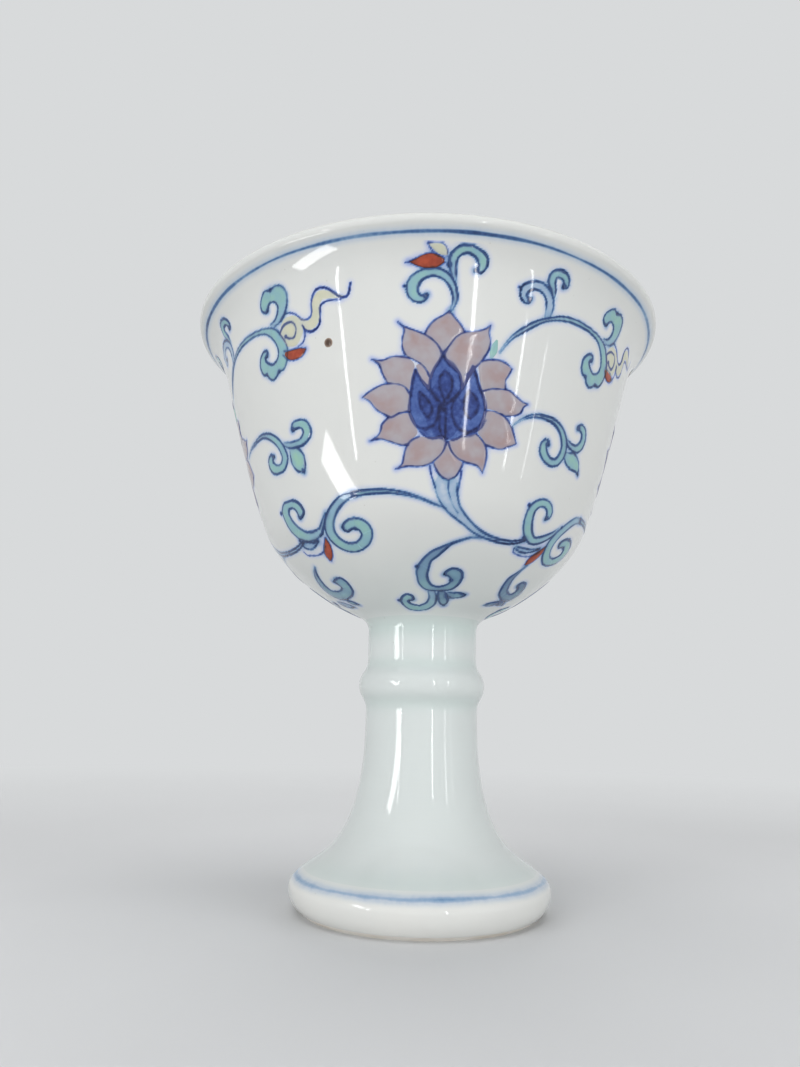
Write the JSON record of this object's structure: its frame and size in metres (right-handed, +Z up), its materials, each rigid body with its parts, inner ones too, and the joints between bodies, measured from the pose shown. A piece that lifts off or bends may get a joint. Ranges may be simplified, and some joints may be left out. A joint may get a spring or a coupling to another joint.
{
  "type": "stem cup",
  "caption": "Small porcelain stem cup: a flared bowl with a painted lotus scroll, luted to a hollow stem with a raised ring and a spreading foot.",
  "frame": {"origin": "centre of the foot, on the surface that the cup stands on", "axes": "+Z up along the cup's axis; a lotus blossom faces -Y"},
  "size_m": [0.066, 0.066, 0.078],
  "materials": {
    "porcelain_body": "fired unglazed porcelain, fine and matte",
    "porcelain_slip": "fired porcelain slip",
    "clear_glaze": "clear glossy glaze with a faint blue-green cast",
    "cobalt_blue": "cobalt brushed under the glaze, with soft edges",
    "aubergine_enamel": "thin glossy overglaze enamel",
    "turquoise_enamel": "thin glossy overglaze enamel",
    "iron_red_enamel": "thin satin overglaze enamel",
    "yellow_enamel": "thin glossy overglaze enamel"
  },
  "bodies": {
    "root": {"bowl_body": "porcelain_body", "stem_body": "porcelain_body", "luting_slip": "porcelain_slip", "joint_fillet": "porcelain_slip", "bowl_inner_glaze": "clear_glaze", "outer_glaze": "clear_glaze", "stem_inner_glaze": "clear_glaze", "rim_blue_line": "cobalt_blue", "foot_blue_line": "cobalt_blue", "blossom_enamel": "aubergine_enamel", "leaf_enamel": "turquoise_enamel", "bud_enamel": "iron_red_enamel", "ribbon_enamel": "yellow_enamel"}
  },
  "joints": []
}
